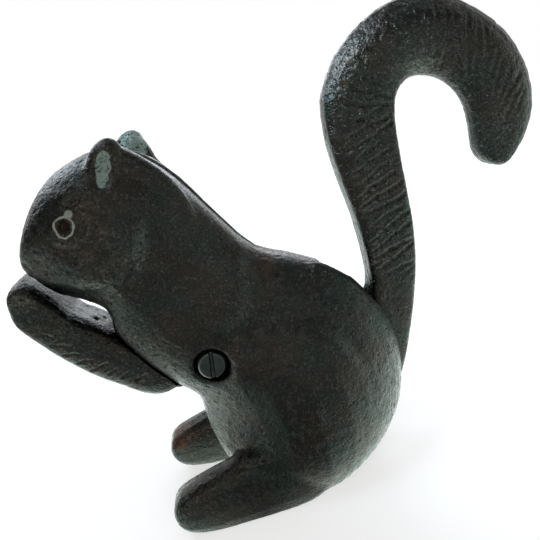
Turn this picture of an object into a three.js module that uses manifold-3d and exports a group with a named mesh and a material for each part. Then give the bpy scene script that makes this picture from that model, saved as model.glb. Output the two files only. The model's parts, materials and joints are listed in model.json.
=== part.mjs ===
// A cast-iron squirrel nutcracker. Its hooked tail is the handle of a lever, which turns on one
// slotted screw between the two halves of the body. The forearms are the lever's short end, and
// they press a nut up against the muzzle.
// Millimetres, +Z up. The squirrel faces -X and its left flank is on -Y. Everything is placed
// from the screw's axis, which runs along Y, and the group is moved onto its soles at the end.

import * as THREE from "three";
import { mergeVertices } from "three/addons/utils/BufferGeometryUtils.js";
import Module from "manifold-3d";

// Body
const bodyLong = 128; // nose to rump
const bodyTall = 150; // soles to the tips of the ears
const bodyWide = 60; // across the haunches
const wallThick = 6.5; // iron left around the hollow belly and haunches
const seamGap = 0.3; // between the two halves
const rightTurn = 1; // degrees that the right half's form sits turned against the left's
// Head
const earLong = 19;
const earWide = 12;
const earThick = 7;
const earSpread = 28; // between the middles of the ears
const earDishDeep = 1.7;
const earDishLong = 12.5;
const earDishWide = 6.8;
const earDishDrop = 2; // from the ear's middle, towards its root
const rightEarBack = 3.2; // how far the right ear sits behind the left
const earRidgeThick = 8; // the ridge that runs from each ear down the nape
const earRidgeDeep = 9; // its edge to its foot in the head
const earRidgeInset = 1.5; // the ridge's middle, inwards of the ear's
const ridgeEndShare = 0.4; // the ridge's width where it sinks into the nape, as a share
const eyeRing = 6.4; // across the middle of the raised ring
const eyeRim = 1.5; // thickness of that ring
const eyePupil = 3.2;
// Feet
const footWide = 19;
const footInset = 0.5; // the feet's outer sides, inwards of the haunches
const heelWideShare = 0.65; // the heel's width, as a share of footWide
const rightFootAhead = 1.8; // how far the right foot stands ahead of the left
const rightFootLift = 1.5; // and how much less of it the flat sole takes off
// Lever
const tailReach = 136; // screw to the back of the hook
const tailRise = 107; // screw to the top of the hook
const tailThick = 14.6;
const armWide = 25; // across both forearms
const pawSplit = 3; // width of the groove between the forearms
const pawSplitDeep = 2.4;
const hubRadius = 13;
const hubWide = 15;
const openAngle = THREE.MathUtils.degToRad(20); // how far the tail lifts
const swingGap = 0.8; // lever to the walls of its slot
const bossGap = 0.4; // hub to the boss on each side
const jawGap = 0.4; // paws to muzzle, with the tail down
// Pivot screw and its nut
const shankDiameter = 6;
const shankGap = 0.3; // around the shank, in every hole that it passes
const headDiameter = 10;
const headHigh = 4;
const headEdge = 0.6; // chamfer
const slotWide = 1.6;
const slotDeep = 1.7;
const counterboreDiameter = 13;
const seatHalf = 16.3; // parting plane to the face that the head bears on
const bossDiameter = 20;
const nutAcross = 10;
const nutHigh = 5;
const nutGap = 0.3; // around the nut, and under it
const shankPast = 1; // how far the shank stands out of the nut
// Dowels
const dowelDiameter = 6;
const dowelLong = 16;
const dowelGap = 0.3;

const restGap = 0.3; // between faces that bear on each other
const slotLean = THREE.MathUtils.degToRad(3);
const legSplit = 6; // between the legs under the belly
const cutPast = 60; // overrun of a cut that leaves the iron

// Outlines. Every point is a share of the two sizes named with its list, from the screw's axis.
// The crest runs from the nose over the head and back to the middle of the seat, and the keel
// from the nose under the muzzle and down the belly: shares of bodyLong and bodyTall.
const crestShares = [
  [-0.43, 0.321], [-0.403, 0.39], [-0.347, 0.464], [-0.268, 0.512], [-0.156, 0.533],
  [-0.0625, 0.505], [0.016, 0.443], [0.085, 0.356], [0.186, 0.234], [0.293, 0.187],
  [0.41, 0.132], [0.506, 0.055], [0.557, -0.043], [0.563, -0.16], [0.534, -0.27],
  [0.463, -0.353], [0.344, -0.412], [0.211, -0.43],
];
const keelShares = [
  [-0.43, 0.321], [-0.414, 0.277], [-0.367, 0.226], [-0.309, 0.199], [-0.257, 0.173],
  [-0.246, 0.143], [-0.251, 0.11], [-0.228, 0.066], [-0.183, 0.005], [-0.128, -0.06],
  [-0.077, -0.113], [-0.07, -0.167], [-0.066, -0.227], [-0.051, -0.287], [-0.016, -0.347],
  [0.047, -0.393], [0.125, -0.42], [0.211, -0.43],
];
const soleShare = -0.43; // the ground, as a share of bodyTall
// Swellings of the flank: middle and radii as shares of bodyLong and bodyTall, then the rise as a
// share of bodyWide.
const flankShare = 0.25;
const swellShares = [
  { at: [-0.22, 0.37], radii: [0.21, 0.17], rise: 0.09 }, // skull
  { at: [-0.195, 0.28], radii: [0.12, 0.08], rise: 0.045 }, // cheek
  { at: [-0.42, 0.29], radii: [0.09, 0.08], rise: -0.05 }, // muzzle
  { at: [-0.015, 0.045], radii: [0.16, 0.16], rise: 0.1 }, // shoulder
  { at: [0.28, -0.165], radii: [0.25, 0.23], rise: 0.235 }, // haunch
  { at: [0.12, -0.36], radii: [0.2, 0.11], rise: 0.1 }, // shank of the leg
];
// Foot, toe to heel: shares of bodyLong and bodyTall.
const footTopShares = [
  [-0.22, -0.362], [-0.207, -0.334], [-0.172, -0.311], [-0.113, -0.291], [-0.04, -0.271],
  [0.04, -0.252], [0.125, -0.257], [0.215, -0.295], [0.285, -0.367],
];
const footBaseShares = [
  [-0.22, -0.362], [-0.207, -0.4], [-0.172, -0.429], [-0.094, -0.445], [0, -0.447],
  [0.08, -0.447], [0.165, -0.44], [0.24, -0.415], [0.285, -0.367],
];
// The tail's front edge and back edge. The root is in shares of bodyLong and bodyTall, because it
// leaves the body at the rump. The plume's shares run from tailStartShare of bodyLong to tailReach,
// and up to tailRise.
const tailStartShare = 0.4;
const rootFrontShares = [
  [0.016, 0.083], [0.172, 0.062], [0.328, 0.022], [0.445, 0.004], [0.494, 0.032],
];
const rootBackShares = [
  [0.016, -0.083], [0.156, -0.11], [0.313, -0.18], [0.445, -0.243], [0.547, -0.217],
];
const plumeFrontShares = [
  [0.164, 0.103], [0.164, 0.159], [0.156, 0.243], [0.136, 0.36], [0.105, 0.481], [0.084, 0.612],
  [0.092, 0.743], [0.158, 0.85], [0.269, 0.933], [0.426, 0.993], [0.594, 0.998], [0.743, 0.945],
  [0.886, 0.848], [0.977, 0.714], [0.994, 0.579], [0.938, 0.479], [0.863, 0.416], [0.809, 0.403],
];
const plumeBackShares = [
  [0.301, -0.145], [0.352, 0.005], [0.381, 0.136], [0.393, 0.271], [0.387, 0.402], [0.38, 0.523],
  [0.378, 0.626], [0.399, 0.701], [0.440, 0.738], [0.493, 0.755], [0.564, 0.743], [0.628, 0.71],
  [0.676, 0.664], [0.705, 0.603], [0.713, 0.53], [0.721, 0.462], [0.759, 0.42], [0.809, 0.403],
];
// The forearms, paws first: shares of bodyLong and bodyTall, ending inside the chest.
const armTopShares = [
  [-0.504, 0.229], [-0.494, 0.265], [-0.464, 0.283], [-0.43, 0.272], [-0.375, 0.216],
  [-0.35, 0.181], [-0.3, 0.148], [-0.254, 0.11], [-0.2, 0.06],
];
const armBaseShares = [
  [-0.504, 0.229], [-0.495, 0.183], [-0.467, 0.137], [-0.405, 0.067], [-0.336, 0.007],
  [-0.258, -0.045], [-0.205, -0.077], [-0.155, -0.085], [-0.11, -0.07],
];
// How square the sections are, from 2 for an ellipse. The head is round, the near nape and the
// chest have corners, and the back is broad where the tail's slot runs along it. The tail's stem
// is a slab and its crown is rounded. A span is where along the form one square gives way to the
// next.
const headSquare = 2.2;
const leftNapeSquare = 4.2;
const rightNapeSquare = 2.6;
const backSquare = 2.9;
const napeSpan = [0.15, 0.3];
const backSpan = [0.42, 0.6];
const stemSquare = 5.5;
const crownSquare = 2.5;
const crownSpan = [0.48, 0.62];
const armSquare = 4;
const footSquare = 2.6;
const ridgeSquare = 2.4;
// The neck of plate that joins the forearms to the hub, above and below.
const neckTopShares = [[-0.3, 0.13], [-0.18, 0.08], [-0.03, 0.085]];
const neckBaseShares = [[-0.2, -0.05], [-0.12, -0.078], [-0.03, -0.085]];
// The mouth of the tail's slot, from its front wall back over the rump.
const slotMouthShares = [[0.365, 0.1], [0.39, 0.3], [0.8, 0.3], [0.8, -0.1], [0.5, 0.02]];
// The notch between the legs.
const legNotchShares = [[-0.2, -0.31], [-0.04, -0.3], [0.06, -0.36], [0.14, -0.5], [-0.2, -0.5]];
// Dowel middles: shares of bodyLong and bodyTall.
const headDowelShares = [-0.14, 0.4];
const haunchDowelShares = [0.19, -0.36];
const eyeShares = [-0.27, 0.396];
const earShares = [-0.133, 0.5];
const earLean = THREE.MathUtils.degToRad(30); // tip of the ear towards the tail
// The edge of the ridge from the ear's tip down the nape, on each side.
const leftRidgeShares = [
  [-0.112, 0.546], [-0.08, 0.533], [-0.048, 0.511], [-0.019, 0.486], [0.02, 0.444], [0.052, 0.382],
  [0.066, 0.3],
];
const rightRidgeShares = [
  [-0.112, 0.548], [-0.085, 0.538], [-0.066, 0.51], [-0.057, 0.483], [-0.035, 0.455], [0, 0.415],
  [0.022, 0.36], [0.03, 0.3],
];

const iron = { color: 0x2b2926, roughness: 0.55, metalness: 0.75 };
const steel = { color: 0x3a403d, roughness: 0.45, metalness: 0.9 };

const wasm = await Module();
wasm.setup();

const toPoint = (shares, long, tall) => new THREE.Vector2(shares[0] * long, shares[1] * tall);
const onBody = (shares) => toPoint(shares, bodyLong, bodyTall);
const tailStart = tailStartShare * bodyLong;
const onTail = ([along, up]) =>
  new THREE.Vector2(THREE.MathUtils.lerp(tailStart, tailReach, along), up * tailRise);
const ground = soleShare * bodyTall;
const { smoothstep } = THREE.MathUtils;

function solidOf(geometry) {
  const bare = geometry.clone();
  bare.deleteAttribute("normal");
  bare.deleteAttribute("uv");
  const merged = mergeVertices(bare, 1e-4);
  return new wasm.Manifold(
    new wasm.Mesh({
      numProp: 3,
      vertProperties: merged.attributes.position.array,
      triVerts: new Uint32Array(merged.index.array),
    }),
  );
}

function geometryOf(solid) {
  const mesh = solid.getMesh();
  const geometry = new THREE.BufferGeometry();
  geometry.setAttribute("position", new THREE.BufferAttribute(mesh.vertProperties, 3));
  geometry.setIndex(new THREE.BufferAttribute(mesh.triVerts, 1));
  geometry.computeVertexNormals();
  return geometry;
}

const smoothPulse = (distance) => Math.exp(-(distance ** 3));

// Half width of the body at a place on its outline plane.
function flankHalf(x, z) {
  let half = flankShare * bodyWide;
  for (const { at, radii, rise } of swellShares) {
    const along = (x / bodyLong - at[0]) / radii[0];
    const up = (z / bodyTall - at[1]) / radii[1];
    half += rise * bodyWide * smoothPulse(Math.hypot(along, up));
  }
  return half;
}

// A skin stretched over sections that span two edge curves in the X-Z plane. Each section is a
// superellipse: square is 2 for an ellipse and more for flatter sides. The curves may share
// their first or last point, which closes the skin there in a rounded nose. side is 0 for the
// whole form, or -1 or 1 for the half on that side of the plane at offset.
function skin({ top, base, halfAt, square, sections, steps, side = 0, offset = 0, nose = 0.08 }) {
  const topCurve = new THREE.SplineCurve(top);
  const baseCurve = new THREE.SplineCurve(base);
  const noseStart = top[0].equals(base[0]);
  const noseEnd = top.at(-1).equals(base.at(-1));
  const round = (t) => Math.sqrt(1 - (1 - Math.min(t / nose, 1)) ** 2);
  const positions = [];
  const rings = [];
  for (let i = 0; i <= sections; i++) {
    // Sections lie closer together towards a rounded nose.
    const even = i / sections;
    const bend = (1 - Math.cos(Math.PI * even)) / 2;
    const t = noseStart && noseEnd ? 0.7 * even + 0.3 * bend : even;
    const high = topCurve.getPoint(t);
    const low = baseCurve.getPoint(t);
    const point = (noseStart && i === 0) || (noseEnd && i === sections);
    const blunt = (noseStart ? round(t) : 1) * (noseEnd ? round(1 - t) : 1);
    const ring = [];
    const count = point ? 1 : side ? steps + 1 : 2 * steps;
    for (let j = 0; j < count; j++) {
      const angle = (Math.PI * j) / steps;
      const power = 2 / (square instanceof Function ? square(t) : square);
      const lift = Math.sign(Math.cos(angle)) * Math.abs(Math.cos(angle)) ** power;
      const swell = Math.sign(Math.sin(angle)) * Math.abs(Math.sin(angle)) ** power;
      const place = low.clone().lerp(high, (1 + lift) / 2);
      const full = Math.abs(Math.sin(angle)) < 1e-9 || point ? 0 : swell * blunt;
      const half = full * halfAt(place.x, place.y, t);
      ring.push(positions.length / 3);
      positions.push(place.x, offset + (side || -1) * half, place.y);
    }
    rings.push(ring);
  }
  const faces = [];
  const face = (a, b, c) => (side > 0 ? faces.push(a, c, b) : faces.push(a, b, c));
  for (let i = 0; i < sections; i++) {
    const here = rings[i];
    const next = rings[i + 1];
    const count = Math.max(here.length, next.length);
    for (let j = 0; j < count; j++) {
      const k = (j + 1) % count;
      if (here.length > 1) face(here[j], here[k], next[next.length > 1 ? j : 0]);
      if (next.length > 1) face(next[j], here[here.length > 1 ? k : 0], next[k]);
    }
  }
  for (let j = 1; j < rings[0].length - 1; j++) face(rings[0][0], rings[0][j + 1], rings[0][j]);
  const last = rings[sections];
  for (let j = 1; j < last.length - 1; j++) face(last[0], last[j], last[j + 1]);
  const geometry = new THREE.BufferGeometry();
  geometry.setAttribute("position", new THREE.Float32BufferAttribute(positions, 3));
  geometry.setIndex(faces);
  return solidOf(geometry);
}

// A plate cut from an outline in the X-Z plane, between two values of Y.
function plate(points, from, to, curveSegments = 24) {
  const shape = points instanceof THREE.Shape ? points : new THREE.Shape(points);
  const geometry = new THREE.ExtrudeGeometry(shape, {
    depth: to - from,
    bevelEnabled: false,
    curveSegments,
  });
  // The outline's Y becomes Z, and the depth runs along -Y from its start.
  geometry.rotateX(Math.PI / 2);
  geometry.translate(0, to, 0);
  return solidOf(geometry);
}

function rod(radius, from, to, at = new THREE.Vector2(), sides = 32) {
  const geometry = new THREE.CylinderGeometry(radius, radius, to - from, sides);
  geometry.translate(0, (from + to) / 2, 0);
  geometry.translate(at.x, 0, at.y);
  return solidOf(geometry);
}

const joined = (solids) => solids.reduce((all, solid) => all.add(solid));
const turned = (points, angle) =>
  points.map((point) => point.clone().rotateAround(new THREE.Vector2(), angle));

// A line of points moved sideways by a distance, to the left of its own direction.
function shifted(points, distance) {
  return points.map((point, i) => {
    const before = points[Math.max(i - 1, 0)];
    const after = points[Math.min(i + 1, points.length - 1)];
    const along = after.clone().sub(before).normalize();
    return new THREE.Vector2(point.x - along.y * distance, point.y + along.x * distance);
  });
}

// Lever
const tailFront = [...rootFrontShares.map(onBody), ...plumeFrontShares.map(onTail)];
const tailBack = [...rootBackShares.map(onBody), ...plumeBackShares.map(onTail)];

function buildLever(body) {
  const tail = skin({
    top: tailFront,
    base: tailBack,
    halfAt: () => tailThick / 2,
    square: (t) => THREE.MathUtils.lerp(stemSquare, crownSquare, smoothstep(t, ...crownSpan)),
    sections: 58,
    steps: 9,
    nose: 0.06,
  });
  const arms = skin({
    top: armTopShares.map(onBody),
    base: armBaseShares.map(onBody),
    halfAt: () => armWide / 2,
    square: armSquare,
    sections: 18,
    steps: 10,
    nose: 0.2,
  });
  const neckTop = neckTopShares.map(onBody);
  const neckBase = neckBaseShares.map(onBody);
  const neck = plate([...neckBase, ...neckTop.reverse()], -hubWide / 2, hubWide / 2);
  const hub = rod(hubRadius, -hubWide / 2, hubWide / 2, undefined, 40);
  const groove = plate(
    shifted(armBaseShares.slice(0, 5).map(onBody), pawSplitDeep / 2).concat(
      shifted(armBaseShares.slice(0, 5).map(onBody), -hubRadius).reverse(),
    ),
    -pawSplit / 2,
    pawSplit / 2,
  );
  const bore = rod(shankDiameter / 2 + shankGap, -bodyWide, bodyWide, undefined, 24);
  // The paws meet the muzzle all over, at the jaw gap, and the arms' ends clear the chest with
  // the tail down, half lifted and fully lifted.
  const grown = body.translate(-jawGap / 2, 0, -jawGap).scale([1, 1 + (2 * jawGap) / armWide, 1]);
  const opened = [0, 0.5, 1].map((share) =>
    grown.rotate(0, THREE.MathUtils.radToDeg(share * openAngle), 0),
  );
  const fitted = arms.subtract(groove).subtract(joined(opened));
  return joined([tail, neck, hub, fitted]).subtract(bore);
}

// The first points of a smooth curve through some points, four to each of its spans.
function startOf(points, spans) {
  const curve = new THREE.SplineCurve(points);
  return Array.from({ length: 4 * spans + 1 }, (_, i) => curve.getPoint(i / 4 / (points.length - 1)));
}

// The room that the lever sweeps inside the body, from tail down to tail lifted.
function swingRoom() {
  const half = hubWide / 2 + swingGap;
  const over = turned(shifted(startOf(tailFront, rootFrontShares.length), swingGap), openAngle);
  const under = shifted(startOf(tailBack, rootBackShares.length - 1), -swingGap);
  const armOver = [...armTopShares.slice(-4, -1), ...neckTopShares.slice(1)].map(onBody);
  const armUnder = [...armBaseShares.slice(-5, -1), ...neckBaseShares.slice(1)].map(onBody);
  // Behind the rump the room is open.
  const outside = [over, under].map((edge) => new THREE.Vector2(bodyLong, edge.at(-1).y));
  const outline = [
    ...shifted(armOver, swingGap),
    ...over,
    ...outside,
    ...under.reverse(),
    ...turned(shifted(armUnder, -swingGap), openAngle).reverse(),
  ];
  const mouth = plate(slotMouthShares.map(onBody), -half, half);
  const around = rod(hubRadius + swingGap, -half, half, undefined, 40);
  return joined([plate(outline, -half, half), mouth, around]);
}

// Body
const bodyCrest = crestShares.map(onBody);
const bodyKeel = keelShares.map(onBody);

function bodySkin(side) {
  const nape = side > 0 ? rightNapeSquare : leftNapeSquare;
  const { lerp } = THREE.MathUtils;
  return skin({
    top: bodyCrest,
    base: bodyKeel,
    halfAt: flankHalf,
    square: (t) =>
      lerp(lerp(headSquare, nape, smoothstep(t, ...napeSpan)), backSquare, smoothstep(t, ...backSpan)),
    sections: 50,
    steps: 18,
    side,
    offset: (side * seamGap) / 2,
  });
}

// The hollow of the belly and haunches, a wall thinner than the flank all round.
function hollow(side) {
  const first = 8;
  const last = 14;
  const inset = (from, to) => from.clone().add(to.clone().sub(from).setLength(wallThick));
  const top = bodyCrest.slice(first, last + 1).map((point, i) => inset(point, bodyKeel[first + i]));
  const base = bodyKeel.slice(first, last + 1).map((point, i) => inset(point, bodyCrest[first + i]));
  const halfAt = (x, z) => flankHalf(x, z) - wallThick;
  return skin({ top, base, halfAt, square: backSquare, sections: 16, steps: 12, side });
}

function foot(side) {
  const solid = skin({
    top: footTopShares.map(onBody),
    base: footBaseShares.map(onBody),
    halfAt: (x, z, t) => (footWide / 2) * THREE.MathUtils.lerp(1, heelWideShare, t),
    square: footSquare,
    sections: 20,
    steps: 8,
    nose: 0.3,
  });
  const [ahead, lift] = side > 0 ? [rightFootAhead, rightFootLift] : [0, 0];
  const out = (bodyWide - footWide) / 2 - footInset;
  return solid.translate(-ahead, side * out, lift);
}

function ear(side) {
  const back = side > 0 ? rightEarBack : 0;
  const lobe = ({ wide, thick, long, lean, at, out }) => {
    const geometry = new THREE.SphereGeometry(1, 18, 12);
    geometry.scale(wide / 2, thick / 2, long / 2);
    geometry.rotateY(lean);
    geometry.translate(at.x + back, side * out, at.y);
    return solidOf(geometry);
  };
  const middle = onBody(earShares);
  const out = earSpread / 2;
  const tip = lobe({ wide: earWide, thick: earThick, long: earLong, lean: earLean, at: middle, out });
  const edge = (side > 0 ? rightRidgeShares : leftRidgeShares).map(onBody);
  const ridge = skin({
    top: edge,
    base: shifted(edge, -earRidgeDeep),
    halfAt: (x, z, t) => (earRidgeThick / 2) * THREE.MathUtils.lerp(1, ridgeEndShare, t),
    square: ridgeSquare,
    sections: 12,
    steps: 5,
  }).translate(back, side * (out - earRidgeInset), 0);
  const dish = lobe({
    wide: earDishWide,
    thick: 2 * earDishDeep,
    long: earDishLong,
    lean: earLean,
    at: middle.clone().sub(new THREE.Vector2(0, earDishDrop).rotateAround(new THREE.Vector2(), -earLean)),
    out: out + earThick / 2,
  });
  return { lobes: tip.add(ridge), dish };
}

// A raised ring with a pupil in it, laid on the flank where the eye is.
function eye(side, half) {
  const geometry = geometryOf(half);
  const place = onBody(eyeShares);
  const from = new THREE.Vector3(place.x, side * bodyWide, place.y);
  const ray = new THREE.Raycaster(from, new THREE.Vector3(0, -side, 0));
  const mesh = new THREE.Mesh(geometry, new THREE.MeshStandardMaterial({ side: THREE.DoubleSide }));
  const hit = ray.intersectObject(mesh)[0];
  const turn = new THREE.Quaternion().setFromUnitVectors(new THREE.Vector3(0, 0, 1), hit.face.normal);
  const placed = (shape) => {
    shape.applyQuaternion(turn);
    shape.translate(hit.point.x, hit.point.y, hit.point.z);
    return solidOf(shape);
  };
  const ring = placed(new THREE.TorusGeometry(eyeRing / 2, eyeRim / 2, 8, 24));
  const pupil = new THREE.SphereGeometry(eyePupil / 2, 12, 8);
  pupil.scale(1, 1, 0.5);
  return ring.add(placed(pupil));
}

// The bearing boss that stands out of the wall to the hub. It runs out through the flank, so the
// hollow leaves iron all round the pivot's holes.
function boss(side) {
  const face = hubWide / 2 + bossGap;
  const ends = [side * face, side * bodyWide].sort((a, b) => a - b);
  return rod(bossDiameter / 2, ...ends);
}

function pivotHoles(side) {
  const shank = rod(shankDiameter / 2 + shankGap, -bodyWide, bodyWide, undefined, 24);
  if (side < 0) return shank.add(rod(counterboreDiameter / 2, -bodyWide, -seatHalf, undefined, 36));
  const across = nutAcross / 2 + nutGap;
  return shank.add(rod(across / Math.cos(Math.PI / 6), seatHalf, bodyWide, undefined, 6));
}

function dowelHoles() {
  const reach = dowelLong / 2 + dowelGap;
  return [headDowelShares, haunchDowelShares].map((shares) =>
    rod(dowelDiameter / 2 + dowelGap, -reach, reach, onBody(shares), 24),
  );
}

// The notch that parts the legs under the belly.
function legNotch() {
  const points = legNotchShares.map(onBody);
  return plate(points, -legSplit / 2, legSplit / 2);
}

function buildHalf(side) {
  const flank = bodySkin(side);
  const { lobes, dish } = ear(side);
  const upright = joined([flank, lobes, foot(side), eye(side, flank)]).subtract(dish);
  const form = side > 0 ? upright.rotate(0, rightTurn, 0) : upright;
  const swing = swingRoom();
  const cavity = hollow(side).subtract(boss(side));
  const inner = new THREE.BoxGeometry(2 * bodyLong, cutPast, 4 * bodyTall);
  inner.translate(0, side * (seamGap / 2 - cutPast / 2), 0);
  const earth = new THREE.BoxGeometry(4 * bodyLong, 4 * bodyWide, cutPast);
  earth.translate(0, 0, ground - cutPast / 2);
  return form
    .subtract(joined([solidOf(inner), solidOf(earth), legNotch()]))
    .subtract(swing.subtract(boss(side)).add(cavity))
    .subtract(joined([pivotHoles(side), ...dowelHoles()]));
}

// Screw
function pivotScrew() {
  const seat = -seatHalf - restGap;
  const face = seat - headHigh;
  const tip = seatHalf + restGap + nutHigh + shankPast;
  const profile = [
    [0, face],
    [headDiameter / 2 - headEdge, face],
    [headDiameter / 2, face + headEdge],
    [headDiameter / 2, seat],
    [shankDiameter / 2, seat],
    [shankDiameter / 2, tip - headEdge],
    [shankDiameter / 2 - headEdge, tip],
    [0, tip],
  ].map(([x, y]) => new THREE.Vector2(x, y));
  const slot = new THREE.BoxGeometry(slotWide, 2 * slotDeep, 2 * headDiameter);
  slot.rotateY(slotLean);
  slot.translate(0, face, 0);
  return solidOf(new THREE.LatheGeometry(profile, 40)).subtract(solidOf(slot));
}

function pivotNut() {
  const from = seatHalf + restGap;
  const hexagon = rod(nutAcross / 2 / Math.cos(Math.PI / 6), from, from + nutHigh, undefined, 6);
  return hexagon.subtract(rod(shankDiameter / 2 + shankGap, 0, bodyWide, undefined, 24));
}

function dowel(shares) {
  const half = dowelLong / 2;
  const edge = dowelGap;
  const profile = [
    [0, -half],
    [dowelDiameter / 2 - edge, -half],
    [dowelDiameter / 2, edge - half],
    [dowelDiameter / 2, half - edge],
    [dowelDiameter / 2 - edge, half],
    [0, half],
  ].map(([x, y]) => new THREE.Vector2(x, y));
  const place = onBody(shares);
  return solidOf(new THREE.LatheGeometry(profile, 24)).translate(place.x, 0, place.y);
}

const group = new THREE.Group();
const squirrel = new THREE.Group();
group.add(squirrel);

function add(name, solid, look) {
  const mesh = new THREE.Mesh(geometryOf(solid), new THREE.MeshStandardMaterial(look));
  mesh.name = name;
  squirrel.add(mesh);
}

add("left_body_casting", buildHalf(-1), iron);
add("right_body_casting", buildHalf(1), iron);
add("tail_lever", buildLever(bodySkin(0)), iron);
add("pivot_screw", pivotScrew(), steel);
add("pivot_nut", pivotNut(), steel);
add("head_dowel", dowel(headDowelShares), steel);
add("haunch_dowel", dowel(haunchDowelShares), steel);

// The origin is under the middle of the object, on the ground.
const bounds = new THREE.Box3().setFromObject(squirrel);
const middle = bounds.getCenter(new THREE.Vector3());
squirrel.position.set(-middle.x, -middle.y, -bounds.min.z);

export default group;
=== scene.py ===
import json
import math
import bmesh
import bpy
import numpy as np
from mathutils import Euler, Matrix, Vector, noise
from mathutils.bvhtree import BVHTree


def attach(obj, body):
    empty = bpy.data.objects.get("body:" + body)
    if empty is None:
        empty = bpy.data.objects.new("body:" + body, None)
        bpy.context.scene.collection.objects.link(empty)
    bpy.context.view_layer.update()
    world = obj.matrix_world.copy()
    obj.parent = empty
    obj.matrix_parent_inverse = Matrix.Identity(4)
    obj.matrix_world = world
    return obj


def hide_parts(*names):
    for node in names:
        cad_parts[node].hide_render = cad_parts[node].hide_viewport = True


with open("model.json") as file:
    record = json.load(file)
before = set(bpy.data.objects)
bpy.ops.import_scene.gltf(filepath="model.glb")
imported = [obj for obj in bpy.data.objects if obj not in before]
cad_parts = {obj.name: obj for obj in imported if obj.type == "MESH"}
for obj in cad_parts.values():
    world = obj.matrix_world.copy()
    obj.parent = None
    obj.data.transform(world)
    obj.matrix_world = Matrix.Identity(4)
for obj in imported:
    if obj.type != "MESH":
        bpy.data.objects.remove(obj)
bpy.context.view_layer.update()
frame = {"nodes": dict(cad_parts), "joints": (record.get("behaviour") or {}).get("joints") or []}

# A sand-cast iron squirrel nutcracker: two body halves on one screw, and a tail that is the lever.
# Places on the object are in millimetres from the screw's axis: x to the tail, z up, y to the far side.
mm = 0.001
pivot = Vector(frame["joints"][0]["pos_m"])
groundZ = -pivot.z / mm


def onObject(x, y, z):
    return pivot + Vector((x, y, z)) * mm


def linear(hexColour):
    # sRGB hex to scene linear
    parts = [int(hexColour[i:i + 2], 16) / 255 for i in (1, 3, 5)]
    return [c / 12.92 if c <= 0.04045 else ((c + 0.055) / 1.055) ** 2.4 for c in parts] + [1.0]


def addNode(tree, kind, inputs=None, **settings):
    # one node with its settings; an input takes a value, or a node or socket to link from
    node = tree.nodes.new(kind)
    for key, value in settings.items():
        setattr(node, key, value)
    for key, value in (inputs or {}).items():
        if isinstance(value, bpy.types.Node):
            value = value.outputs[0]
        if isinstance(value, bpy.types.NodeSocket):
            tree.links.new(value, node.inputs[key])
        else:
            node.inputs[key].default_value = value
    return node


def linkObject(name, data):
    made = bpy.data.objects.new(name, data)
    bpy.context.scene.collection.objects.link(made)
    return made


def shapeObject(name, shape):
    # an object made of a bmesh, which is used up
    mesh = bpy.data.meshes.new(name)
    shape.to_mesh(mesh)
    shape.free()
    return linkObject(name, mesh)


def keepModified(piece):
    # makes what the piece's modifiers show its own mesh
    depsgraph = bpy.context.evaluated_depsgraph_get()
    piece.data = bpy.data.meshes.new_from_object(piece.evaluated_get(depsgraph))
    piece.modifiers.clear()


def coat(mesh, material):
    mesh.materials.clear()
    mesh.materials.append(material)


def emptyTree(owner):
    owner.use_nodes = True
    owner.node_tree.nodes.clear()
    return owner.node_tree


def newMaterial(name):
    material = bpy.data.materials.new(name)
    return material, emptyTree(material)


def span(values):
    # inputs of a Map Range node, in the order that every span below has
    return dict(zip(("From Min", "From Max", "To Min", "To Max"), values))


# Camera: the photograph's viewpoint

shot = {
    "stands": (17.65, -202.0, 87.61),  # mm from the screw
    "azimuth": 3.099,                  # degrees, 0 looks along +Y
    "elevation": 17.657,               # degrees down
    "roll": 12.62,                     # the ground line climbs to the right in the picture
    "lens": 37.33,                     # mm on a 36 mm sensor
}


def makeCamera():
    data = bpy.data.cameras.new("shotCamera")
    data.lens = shot["lens"]
    data.sensor_width = 36
    data.clip_start = 0.01
    camera = linkObject("shotCamera", data)
    look = Euler((math.radians(90 - shot["elevation"]), 0, math.radians(-shot["azimuth"]))).to_matrix()
    turn = Matrix.Rotation(math.radians(-shot["roll"]), 3, "Z")
    camera.matrix_world = Matrix.Translation(onObject(*shot["stands"])) @ (look @ turn).to_4x4()
    bpy.context.scene.camera = camera


# Studio: a white room that is dimmer behind the camera, a pale floor and soft windows

studio = {
    "paper": "#ffffff",        # the background
    "fill": 0.3,               # white room, as matt surfaces see it
    "roomFront": "#787775",    # what the iron shows of the room on the camera's side
    "roomBack": "#ffffff",
    "roomTurn": 0.6,           # how much the room's right counts as its back
    "roomSpan": (-0.3, 0.6),   # from the front's colour to the back's
    "floorColour": "#d9d9d9",
    "floorRadius": 2.5,        # m, as in the spans
    # light of its own keeps the floor white round the soft shadow: distance, then strength
    "floorSpan": (0.3, 1.3, 0.6, 1.0),
    # what the iron shows of the floor: dim in front, and beside it as bright as the photograph's white
    "seenColour": "#e4f2ea",
    "seenMiddle": -0.03,       # m along x
    "seenTurn": 0.8,           # how much a place beside that counts as farther back
    "seenSpan": (-0.045, 0.015, 0.0, 2.4),    # towards the back, then brightness
    "fadeSpan": (0.13, 0.22, 1.0, 0.45),      # distance, then what is left of that brightness
    # place mm, size mm, brightness (1 is white), colour, aim mm, spread in degrees
    "lamps": {
        "backWindow": ((120, 700, 330), 430, 3.6, "#e0e9f6", (20, 0, 10), 180),
        "upperWindow": ((-320, 420, 400), 270, 5, "#dce8f6", (20, 0, 10), 180),
        "tailWindow": ((-25, -39, 190), 100, 3.2, "#cfe2f6", (62, -8, 98), 60),
        "rightWindow": ((600, -80, -20), 380, 1.3, "#d8efe2", (20, 0, 10), 180),
        "sideSoft": ((260, -470, 20), 260, 1.5, "#eaf2f6", (70, 0, 60), 180),
        "frontSoft": ((-200, -580, 300), 240, 4.6, "#fff4e8", (20, 0, 10), 180),
    },
}


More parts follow.
